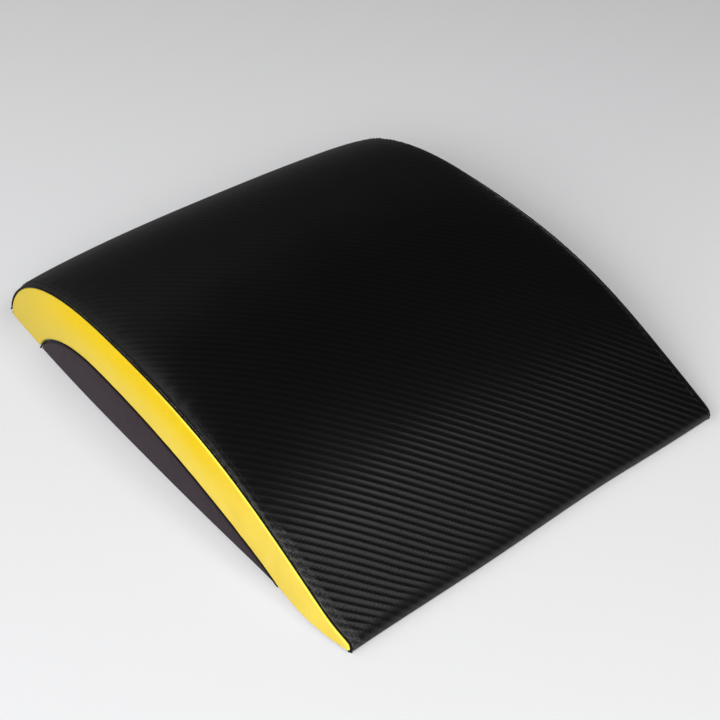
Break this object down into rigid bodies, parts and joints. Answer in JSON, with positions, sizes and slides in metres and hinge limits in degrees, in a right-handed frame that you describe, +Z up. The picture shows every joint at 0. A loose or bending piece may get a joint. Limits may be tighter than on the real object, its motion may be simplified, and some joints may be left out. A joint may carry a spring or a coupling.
{
  "type": "ab mat",
  "caption": "Low foam wedge for sit-ups in a sewn vinyl cover, with a thin front edge, a rounded crest towards the back and crescent-shaped piped side panels.",
  "frame": {"origin": "middle of the underside, on the surface that the mat lies on", "axes": "+X across the width to the user's right, +Y from the thin front edge towards the round back, +Z up"},
  "size_m": [0.3092, 0.381, 0.0824],
  "materials": {
    "foam": "open-cell foam skin, matt",
    "embossed_vinyl": "black vinyl embossed with diagonal woven ribs, satin",
    "base_vinyl": "black fine-grained vinyl, matt",
    "thread": "black twisted thread",
    "yellow_vinyl": "yellow smooth vinyl, satin",
    "charcoal_vinyl": "charcoal fine-grained vinyl, matt",
    "black_piping": "black vinyl piping, satin"
  },
  "bodies": {
    "root": {"foam_core": "foam", "top_cover": "embossed_vinyl", "base_cover": "base_vinyl", "base_stitching": "thread", "side_panel_left": "yellow_vinyl", "side_panel_right": "yellow_vinyl", "side_insert_left": "charcoal_vinyl", "side_insert_right": "charcoal_vinyl", "top_piping_left": "black_piping", "top_piping_right": "black_piping", "insert_piping_left": "black_piping", "insert_piping_right": "black_piping", "top_stitching_left": "thread", "top_stitching_right": "thread"}
  },
  "joints": []
}
